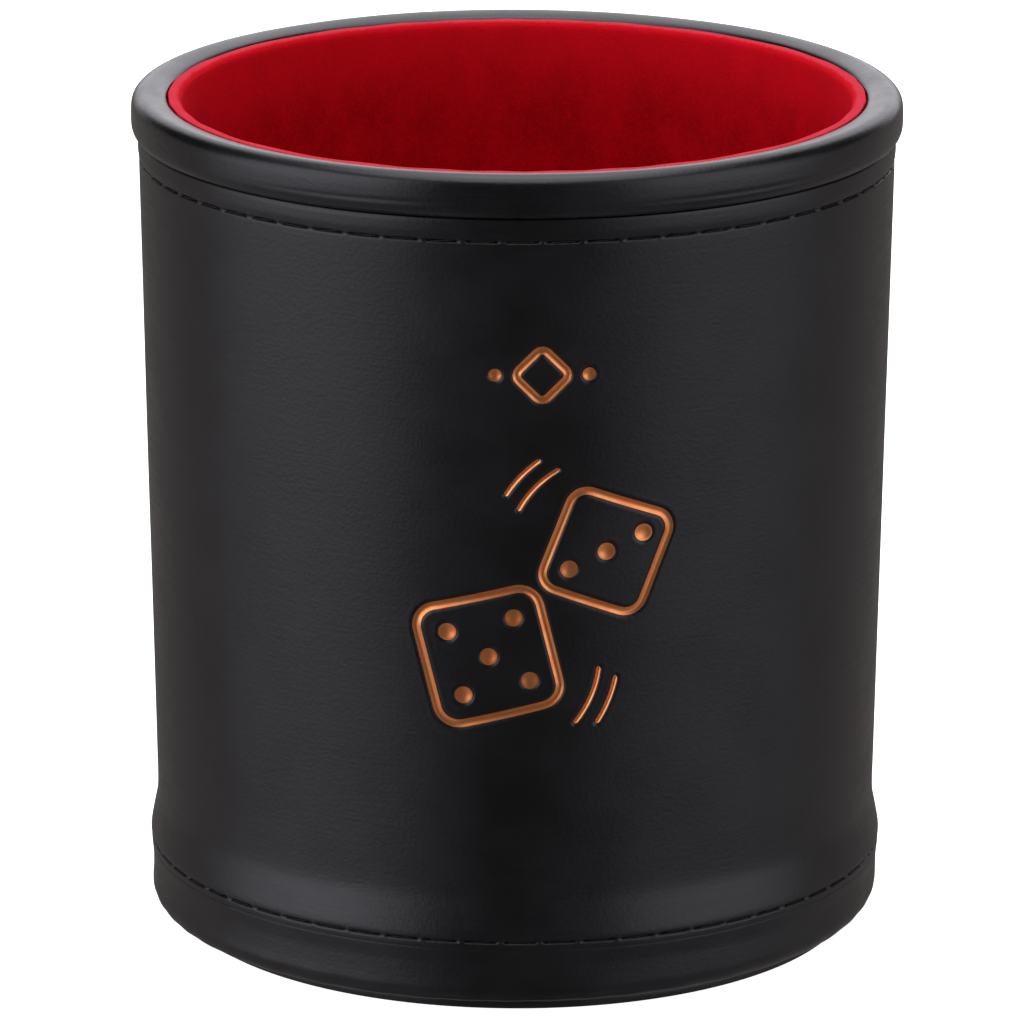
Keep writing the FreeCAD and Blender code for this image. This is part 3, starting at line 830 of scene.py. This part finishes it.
def build_floor_lining(material, rise):
    skirt = FLOOR_R - PAD_R - GAP
    under = PAD_TOP + GAP
    outline = join(line((0, under), (PAD_R - 1, under), 2.0),
                   line((PAD_R + GAP, PAD_TOP - 0.3), (PAD_R + GAP, LINING_FOOT), 0.8),
                   line((FLOOR_R, LINING_FOOT), (FLOOR_R, FLOOR_TOP - skirt), 0.4),
                   arc((FLOOR_R - skirt, FLOOR_TOP - skirt), skirt, 0, 90, 0.15),
                   line((FLOOR_R - skirt, FLOOR_TOP), (0, FLOOR_TOP), 1.0))

    def relief(angle, i, point):
        radius, z = point
        if z < PAD_TOP:
            return np.zeros_like(angle)
        lift = rise(radius * np.sin(angle), -radius * np.cos(angle))
        return lift + unevenness(angle, radius, 0.03) if z > FLOOR_TOP - 0.2 else -lift

    shape = lathe_solid(outline, COARSE // 2, relief)
    made = piece("velvet_floor", shape, material, ("floor_lining",))


def build_foam_pad(material, rise):
    outline = disc_outline(PAD_R, LINING_FOOT, PAD_TOP, 0.5, (2.5, 0.25, 1.5))

    def relief(angle, i, point):
        radius, z = point
        if z < PAD_TOP - 0.1:
            return np.zeros_like(angle)
        return rise(radius * np.sin(angle), -radius * np.cos(angle))

    made = piece("foam_pad", lathe_solid(outline, COARSE // 3, relief), material, ("floor_pad",))


def build_rim_foam(material):
    """Foam ring that fills the roll.  It is the roll's inner outline, closed along the tube and its top."""
    gap = 0.03
    roll = roll_outline(LEATHER + gap, 0.5)
    top = TUBE_TOP_Z + gap
    above = roll[roll[:, 1] > top]
    outside = roll[(roll[:, 1] <= top) & (roll[:, 0] > tube_outer(top) + 0.1)]
    low_z = outside[:, 1].min()
    section = join(outside, above, [(above[-1][0], top)],
                   line(by_tube(top, gap), by_tube(low_z, gap), 0.8))

    def relief(angle, i, point):
        return -0.02 - 0.02 * np.sin(17 * angle + i)

    made = piece("rim_foam", lathe(section, COARSE // 2, relief), material, ("rim_filler",))


# --- stitches
PLY_TURNS = 1.3  # turns of the thread's two plies along one stitch
DIVE = 0.6  # how deep a stitch's ends go into their holes


def stitch(place, seed):
    """One stitch as points and faces.  place(u, v, w) puts a point u along the seam, v across it and
    w out from the thread's middle line."""
    around, along = 14, 15
    half = STITCH_LENGTH / 2 + 0.12
    lean = 0.10 * math.sin(2.3 * seed) + 0.07
    lift = 0.03 * math.sin(3.7 * seed + 1)
    points = []
    for u in np.linspace(-half, half, along):
        end = ramp(np.array(abs(u)), half - 0.75, half)
        radius = THREAD_R * (1 - 0.3 * end)
        turn = 2 * math.pi * PLY_TURNS * u / STITCH_LENGTH + seed
        for k in range(around):
            a = 2 * math.pi * k / around
            r = radius * (0.88 + 0.14 * math.cos(2 * (a - turn)))
            points.append(place(u, r * math.cos(a) + lean * u / half, r * math.sin(a) + lift - DIVE * end))
    return tube(np.array(points).reshape(along, around, 3), False)


def build_stitches(name, material, places, node):
    shape = merged(stitch(place, seed) for seed, place in enumerate(places))
    piece(name, shape, material, (node,))


def round_seam(radius, z, count):
    def place_for(i):
        middle = 2 * math.pi * (i + 0.5) / count

        def place(u, v, w):
            return on_cup(radius + w, middle + u / radius, z + v)

        return place

    return [place_for(i) for i in range(count)]


def back_row():
    low, pitch, count = BACK_ROW
    depth = 0.17

    def place_for(i):
        middle = low + pitch * i + STITCH_LENGTH / 2

        def place(u, v, w):
            radius = wall_r(middle + u) - depth + w
            angle = math.pi - math.asin((BACK_ROW_X + v) / radius)
            return on_cup(radius, angle, middle + u)

        return place

    return [place_for(i) for i in range(count)]


# --- foil in the emblem's grooves
FOIL_STEP = 0.35  # between the foil's points along a stroke
FOIL_MARGIN = 0.03  # between the foil's edge and its groove's


def square_path(mark):
    cx, cz, side, corner, turn = mark
    flat = side / 2 - corner
    points = []
    for quarter, (sx, sz) in enumerate(((1, 1), (-1, 1), (-1, -1), (1, -1))):
        start = 90 * quarter
        for a in np.radians(np.linspace(start, start + 90, 9)):
            points.append((sx * flat + corner * math.cos(a), sz * flat + corner * math.sin(a)))
    return np.array([np.add((cx, cz), spun(x, z, turn)) for x, z in evenly_closed(points)])


def arc_path(mark):
    cx, cz, radius, start, sweep = mark
    return arc((cx, cz), radius, start, start + sweep, FOIL_STEP)


def run_along(path):
    """Distance of each point from the path's start."""
    return np.concatenate([[0], np.cumsum(np.linalg.norm(np.diff(path, axis=0), axis=1))])


def evenly_closed(points):
    """The same closed path with its points about FOIL_STEP apart."""
    p = np.array(points + points[:1])
    far = run_along(p)
    at = np.linspace(0, far[-1], round(far[-1] / FOIL_STEP) + 1)[:-1]
    return np.stack([np.interp(at, far, p[:, 0]), np.interp(at, far, p[:, 1])], axis=1)


def foil_surface(x, z, height):
    """Points on the cup for flat emblem places, height mm above the wall's plain surface."""
    radius = wall_r(z)
    return on_cup(radius + height, np.arcsin(np.clip(x / radius, -1, 1)), z)


def foil_height(inset, half):
    """Foil's height at a place inset from its stroke's edge: deepest in the middle, curled up at the edge."""
    share = np.clip(inset / half, 0, 1)
    return FOIL_CURL * (1 - ramp(share, 0.0, 0.8)) - FOIL_DEPTH


def foil_ribbon(path, half, closed):
    """A thin closed shell along a path, with round ends where the path is open."""
    across = np.linspace(-1, 1, 9)
    ahead = np.roll(path, -1, axis=0) - np.roll(path, 1, axis=0)
    if not closed:
        ahead[0], ahead[-1] = path[1] - path[0], path[-1] - path[-2]
    ahead /= np.linalg.norm(ahead, axis=1, keepdims=True)
    side = np.stack([-ahead[:, 1], ahead[:, 0]], axis=1)
    widths = np.full(len(path), half - FOIL_MARGIN)
    if not closed:
        far = run_along(path)
        tip = np.minimum(far, far[-1] - far)
        widths *= np.sqrt(np.clip(1 - (1 - np.clip(tip / half, 0, 1)) ** 2, 0.02, 1))
    tops, bottoms = [], []
    for point, normal, width in zip(path, side, widths):
        flat = point + across[:, None] * normal * width
        height = foil_height(half - np.abs(across) * width, half)
        tops.append(foil_surface(flat[:, 0], flat[:, 1], height))
        bottoms.append(foil_surface(flat[:, 0], flat[:, 1], height - FOIL_GAUGE))
    ring = np.concatenate([np.array(tops), np.array(bottoms)[:, ::-1]], axis=1)
    return tube(ring, closed)


def foil_dot(mark, radius):
    """A dished dot as a thin closed shell."""
    turns = np.linspace(0, 2 * math.pi, 28, endpoint=False)
    rings = (0.35, 0.6, 0.8, 0.92, 1.0)
    size = radius - FOIL_MARGIN
    points, faces = [], []
    for gauge in (0, FOIL_GAUGE):
        for share in rings:
            x = mark[0] + share * size * np.cos(turns)
            z = mark[1] + share * size * np.sin(turns)
            height = foil_height(radius - share * size, radius) - gauge
            points.append(foil_surface(x, z, np.full(len(turns), height)))
    middle = [foil_surface(np.array([mark[0]]), np.array([mark[1]]),
                           np.array([foil_height(radius, radius) - gauge])) for gauge in (0, FOIL_GAUGE)]
    points = np.concatenate(points + middle)
    n, levels = len(turns), len(rings)
    order = [*range(levels), *reversed(range(levels, 2 * levels))]
    for k in range(n):
        m = (k + 1) % n
        faces.append((2 * levels * n, k, m))
        faces.append((2 * levels * n + 1, levels * n + m, levels * n + k))
        for a, b in zip(order, order[1:]):
            faces.append((a * n + k, b * n + k, b * n + m, a * n + m))
    return points, faces


def foil_mark(kind, mark, half):
    if kind == "dot":
        return foil_dot(mark, half)
    if kind == "square":
        return foil_ribbon(square_path(mark), half, True)
    return foil_ribbon(arc_path(mark), half, False)


def build_foil(material):
    shape = merged(foil_mark(*stroke) for stroke in STROKES)
    piece("emblem_foil", shape, material, ("foil_emblem",))


# --- materials
class Nodes:
    """Shader nodes in the making, all in one tree."""

    def __init__(self, tree):
        self.tree = tree

    def node(self, kind, inputs=(), **settings):
        made = self.tree.nodes.new("ShaderNode" + kind)
        for key, value in settings.items():
            setattr(made, key, value)
        for key, value in dict(inputs).items():
            self.give(made.inputs[key], value)
        return made

    def give(self, socket, value):
        if isinstance(value, bpy.types.NodeSocket):
            self.tree.links.new(value, socket)
        else:
            socket.default_value = value

    def math(self, operation, a, b):
        return self.node("Math", {0: a, 1: b}, operation=operation).outputs[0]

    def vector(self, operation, a, b=(0.0, 0.0, 0.0)):
        return self.node("VectorMath", {0: a, 1: b}, operation=operation)

    def remap(self, value, low, high, to_low=0.0, to_high=1.0):
        made = self.node("MapRange", {"Value": value, "From Min": low, "From Max": high,
                                      "To Min": to_low, "To Max": to_high}, interpolation_type="SMOOTHSTEP")
        return made.outputs["Result"]


class Recipe(Nodes):
    """A node material in the making.  Sizes of patterns are given in millimetres."""

    def __init__(self, name):
        self.material = bpy.data.materials.new(name)
        self.material.use_nodes = True
        super().__init__(self.material.node_tree)
        self.shader = self.tree.nodes["Principled BSDF"]
        self.place = self.node("TexCoord").outputs["Object"]

    def set(self, **values):
        for key, value in values.items():
            self.give(self.shader.inputs[key.replace("_", " ")], value)

    def stretched(self, x, y, z):
        """The object's coordinates, divided by sizes in millimetres."""
        scale = (1 / (x * MM), 1 / (y * MM), 1 / (z * MM))
        return self.node("Mapping", {"Vector": self.place, "Scale": scale}).outputs[0]

    def noise(self, size, detail=3.0, rough=0.55, at=None):
        vector = at or self.stretched(size, size, size)
        made = self.node("TexNoise", {"Vector": vector, "Scale": 1.0, "Detail": detail, "Roughness": rough})
        return made.outputs["Fac"]

    def cells(self, size):
        made = self.node("TexVoronoi", {"Vector": self.stretched(size, size, size), "Scale": 1.0},
                         feature="SMOOTH_F1")
        return made.outputs["Distance"]

    def mix(self, share, a, b):
        made = self.node("Mix", data_type="RGBA")
        for key, value in (("Factor", share), ("A", a), ("B", b)):
            self.give(made.inputs[key], (*value, 1) if isinstance(value, tuple) else value)
        return made.outputs["Result"]

    def bump(self, height, distance, strength, below=None):
        inputs = {"Height": height, "Distance": distance * MM, "Strength": strength}
        if below is not None:
            inputs["Normal"] = below
        return self.node("Bump", inputs).outputs[0]


def leather(name, tone, roughness, grain):
    """Smooth black leather: faint brushed streaks round the cup, a very fine pebble, satin gloss that
    varies a little, and a few faint specks of wear."""
    r = Recipe(name)
    cloud = r.noise(9.0, 4.0)
    streak = r.noise(0, 3.0, at=r.stretched(6.0, 6.0, 0.35))
    pebble = r.cells(0.42)
    pores = r.noise(0.16, 2.0)
    worn = r.remap(r.noise(2.6, 5.0, 0.7), 0.62, 0.8)
    dark, light, bare = (tuple(share * c for c in tone) for share in (0.82, 1.25, 2.2))
    base = r.mix(r.remap(cloud, 0.3, 0.7), dark, light)
    base = r.mix(r.math("MULTIPLY", worn, 0.15), base, bare)
    rough = r.remap(cloud, 0.3, 0.7, roughness - 0.03, roughness + 0.03)
    rough = r.math("ADD", rough, r.remap(streak, 0.3, 0.7, -0.025, 0.025))
    rough = r.math("ADD", rough, r.math("MULTIPLY", worn, 0.02))
    surface = r.bump(pebble, 0.028 * grain, 0.5)
    surface = r.bump(pores, 0.012 * grain, 0.5, surface)
    surface = r.bump(streak, 0.02 * grain, 0.5, surface)
    r.set(Base_Color=base, Roughness=rough, Normal=surface)
    r.shader.inputs["IOR"].default_value = 1.5
    r.shader.inputs["Specular IOR Level"].default_value = 0.5
    return r.material


def velvet():
    """Deep red velvet: pile brushed this way and that in soft mottled patches.  Towards the rim it has
    painted light, paler higher up, and over the fold at the rim a painted sheen makes it much paler."""
    r = Recipe("red_velvet")
    brushed = r.noise(0, 4.0, 0.6, at=r.stretched(5.0, 5.0, 7.0))
    tufts = r.noise(0.45, 3.0, 0.7)
    pile = r.noise(0.16, 2.0, 0.6)
    deep, red, tips = (0.41, 0.0005, 0.005), (0.57, 0.0010, 0.009), (0.82, 0.0035, 0.015)
    painted_rim_light, painted_lip_sheen = (0.95, 0.008, 0.020), (0.82, 0.045, 0.075)
    base = r.mix(r.remap(brushed, 0.32, 0.68), deep, red)
    base = r.mix(r.remap(tufts, 0.35, 0.75, 0.0, 0.45), base, tips)
    height = r.node("SeparateXYZ", {"Vector": r.place}).outputs["Z"]
    edge = r.math("ADD", height, r.math("MULTIPLY", r.math("SUBTRACT", tufts, 0.5), 0.5 * MM))
    # Painted light: higher up, the velvet is painted paler, as the light that falls in at the mouth, and
    # deeper in the cup it stays darker.
    painted_rim_light_share = r.remap(edge, (LIP_TOP_Z - 12) * MM, (LIP_TOP_Z - 0.5) * MM, 0.0, 0.6)
    base = r.mix(painted_rim_light_share, base, painted_rim_light)
    # Painted sheen: over the fold at the rim the velvet is painted much paler, a painted highlight on the
    # lip.
    fold = r.remap(edge, (LIP_TOP_Z - 0.2) * MM, (LIP_TOP_Z + 0.05) * MM)
    base = r.mix(fold, base, painted_lip_sheen)
    surface = r.bump(tufts, 0.12, 0.6)
    surface = r.bump(pile, 0.10, 0.8, surface)
    r.set(Base_Color=base, Roughness=r.remap(tufts, 0.3, 0.7, 0.75, 0.95), Normal=surface)
    r.shader.inputs["Specular IOR Level"].default_value = 0.05
    r.shader.inputs["Sheen Weight"].default_value = 0.3
    r.shader.inputs["Sheen Roughness"].default_value = 0.35
    r.shader.inputs["Sheen Tint"].default_value = (1.0, 0.05, 0.08, 1)
    return r.material


def waxed_thread():
    r = Recipe("waxed_black_thread")
    fibre = r.noise(0.07, 3.0, 0.6)
    lint = r.remap(r.noise(0.5, 3.0), 0.6, 0.8)
    dark, light, dust = (0.002, 0.002, 0.002), (0.006, 0.006, 0.007), (0.05, 0.048, 0.046)
    base = r.mix(fibre, dark, light)
    base = r.mix(r.math("MULTIPLY", lint, 0.4), base, dust)
    r.set(Base_Color=base, Roughness=r.remap(fibre, 0.3, 0.7, 0.55, 0.75), Normal=r.bump(fibre, 0.03, 0.6))
    r.shader.inputs["Specular IOR Level"].default_value = 0.25
    return r.material


def copper_foil():
    """Hot-pressed copper foil: smooth, with redder and paler flecks, faint wrinkles and tiny breaks."""
    r = Recipe("copper_foil")
    fleck = r.noise(1.6, 2.0, 0.5)
    wrinkle = r.noise(0.9, 1.0, 0.5)
    breaks = r.remap(r.noise(0.4, 4.0, 0.7), 0.70, 0.75)
    redder, paler, bare = (1.0, 0.30, 0.095), (1.0, 0.38, 0.13), (0.06, 0.018, 0.010)
    base = r.mix(r.remap(fleck, 0.3, 0.7), redder, paler)
    base = r.mix(breaks, base, bare)
    rough = r.remap(fleck, 0.3, 0.7, 0.38, 0.30)
    r.set(Base_Color=base, Metallic=r.math("SUBTRACT", 0.92, r.math("MULTIPLY", breaks, 0.6)),
          Roughness=rough, Normal=r.bump(wrinkle, 0.02, 0.4))
    return r.material


def board():
    r = Recipe("grey_board")
    fibre = r.noise(0.6, 5.0, 0.7)
    layer = r.noise(0, 3.0, at=r.stretched(3.0, 3.0, 0.25))
    speck = r.remap(r.noise(0.35, 2.0), 0.68, 0.74)
    base = r.mix(fibre, (0.27, 0.25, 0.22), (0.42, 0.39, 0.34))
    base = r.mix(r.math("MULTIPLY", speck, 0.6), base, (0.13, 0.12, 0.11))
    r.set(Base_Color=base, Roughness=r.remap(layer, 0.3, 0.7, 0.8, 0.95), Normal=r.bump(fibre, 0.1, 0.6))
    return r.material


def foam():
    r = Recipe("pale_foam")
    pores = r.cells(0.55)
    base = r.mix(r.remap(pores, 0.1, 0.6), (0.45, 0.42, 0.34), (0.75, 0.72, 0.62))
    r.set(Base_Color=base, Roughness=r.remap(pores, 0.0, 0.7, 0.85, 0.98), Normal=r.bump(pores, 0.25, 0.8))
    return r.material


# --- light
# Panels of light: turn from the direction that the camera looks in, half width, soft edge, lowest and
# highest elevation, fade above and below, colour.
PANELS = (
    (4, 8, 30, 10, 68, 14, (1.50, 1.48, 1.57)),             # backdrop
    (-116, 0, 42, -4, 38, 20, (1.70, 1.67, 1.86)),          # soft boxes at the left and right
    (117, 0, 41, -4, 38, 20, (1.10, 1.07, 1.20)),
    (-116, 0, 52, -80, -18, 8, (0.24, 0.22, 0.25)),         # what the ground sends back of them
    (117, 0, 52, -80, -18, 8, (0.16, 0.15, 0.17)),
    (0, 75, 20, -60, 8, 8, (0.21, 0.19, 0.185)),            # ground behind the cup
)
AMBIENT = 0.02
OVERHEAD = (2.4, 2.38, 2.5)
OVERHEAD_FROM = 50  # elevation at which the light from above begins


def facing(turn_degrees):
    """Unit vector on the floor plane, turned clockwise from the direction that the camera looks in."""
    a = math.radians(CAMERA_TURN - turn_degrees)
    return (-math.sin(a), math.cos(a), 0.0)


def sine(degrees):
    return math.sin(math.radians(max(-90, min(90, degrees))))


def studio_world():
    """Studio light as a function of direction: the panels, a soft light from above, and next to nothing
    behind the camera.  The camera itself sees plain white."""
    world = bpy.data.worlds.new("studio")
    bpy.context.scene.world = world
    world.use_nodes = True
    world.node_tree.nodes.clear()
    w = Nodes(world.node_tree)
    direction = w.node("TexCoord").outputs["Generated"]
    up = w.node("SeparateXYZ", {"Vector": direction}).outputs["Z"]
    flat = w.vector("MULTIPLY", direction, (1.0, 1.0, 0.0)).outputs[0]
    flat = w.vector("NORMALIZE", flat).outputs[0]

    def around(turn, half, soft):
        """1 within half degrees of a direction round the cup, fading out over soft degrees."""
        along = w.vector("DOT_PRODUCT", flat, facing(turn)).outputs["Value"]
        return w.remap(along, math.cos(math.radians(half + soft)), math.cos(math.radians(half)))

    def between(low, high, soft):
        """1 between two elevations in degrees, fading out over soft degrees beyond them."""
        rising = w.remap(up, sine(low - soft), sine(low))
        falling = w.math("SUBTRACT", 1.0, w.remap(up, sine(high), sine(high + soft)))
        return w.math("MULTIPLY", rising, falling)

    def add(total, mask, colour):
        lit = w.node("VectorMath", {0: colour, "Scale": mask}, operation="SCALE").outputs[0]
        return w.vector("ADD", total, lit).outputs[0]

    total = w.vector("ADD", (AMBIENT,) * 3).outputs[0]
    for turn, half, soft, low, high, fade, colour in PANELS:
        total = add(total, w.math("MULTIPLY", around(turn, half, soft), between(low, high, fade)), colour)
    total = add(total, w.remap(up, sine(OVERHEAD_FROM), 1.0), OVERHEAD)
    lit, plain = (w.node("Background", {"Color": colour, "Strength": 1.0}).outputs[0]
                  for colour in (total, (1, 1, 1, 1)))
    seen = w.node("LightPath").outputs["Is Camera Ray"]
    w.node("OutputWorld", {"Surface": w.node("MixShader", {0: seen, 1: lit, 2: plain}).outputs[0]})


FLOOR_SIZE = 1.2  # half its width, in metres
FLOOR_Z = -0.1  # just under the sole


def make_floor():
    """White ground that shines evenly, so that it can't be told from the backdrop."""
    work = bmesh.new()
    bmesh.ops.create_grid(work, x_segments=24, y_segments=24, size=FLOOR_SIZE)
    mesh = bpy.data.meshes.new("floor")
    work.to_mesh(mesh)
    work.free()
    floor = placed("floor", mesh)
    floor.location.z = FLOOR_Z * MM
    floor.visible_glossy = False
    r = Recipe("pale_floor")
    mottle = r.noise(40.0, 3.0)
    r.set(Base_Color=r.mix(mottle, (0.90,) * 3, (0.94,) * 3), Roughness=0.9)
    r.shader.inputs["Emission Color"].default_value = (1, 1, 1, 1)
    r.shader.inputs["Emission Strength"].default_value = 1.0
    mesh.materials.append(r.material)


# --- putting it together
make_camera()
bpy.context.scene.view_settings.view_transform = "Standard"
studio_world()
make_floor()

BLACK = (0.0038, 0.0037, 0.0041)
SOLE_BLACK = tuple(1.5 * c for c in BLACK)
wall_leather = leather("black_leather_wall", BLACK, 0.34, 1.0)
rim_leather = leather("black_leather_rim", BLACK, 0.28, 0.8)
base_leather = leather("black_leather_base", BLACK, 0.36, 1.2)
red = velvet()
pale = foam()
thread = waxed_thread()

build_wall(wall_leather)
build_rim(rim_leather)
build_base_cap(base_leather)
build_base_disc(leather("black_leather_sole", SOLE_BLACK, 0.42, 1.4))
build_wall_lining(red)
rise = puffed_height()
build_floor_lining(red, rise)
build_foam_pad(pale, rise)
build_rim_foam(pale)
build_stitches("rim_seam_thread", thread, round_seam(RIM_THREAD_R, RIM_SEAM_Z, RIM_STITCHES), "rim_stitches")
build_stitches("base_seam_thread", thread, round_seam(BASE_THREAD_R, BASE_SEAM_Z, BASE_STITCHES),
               "base_stitches")
build_stitches("back_seam_thread", thread, back_row(), "back_seam_stitches")
build_foil(copper_foil())

grey = board()
for name in ("core_tube", "core_floor", "base_filler", "lining_sleeve"):
    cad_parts[name].data.materials.clear()
    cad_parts[name].data.materials.append(grey)
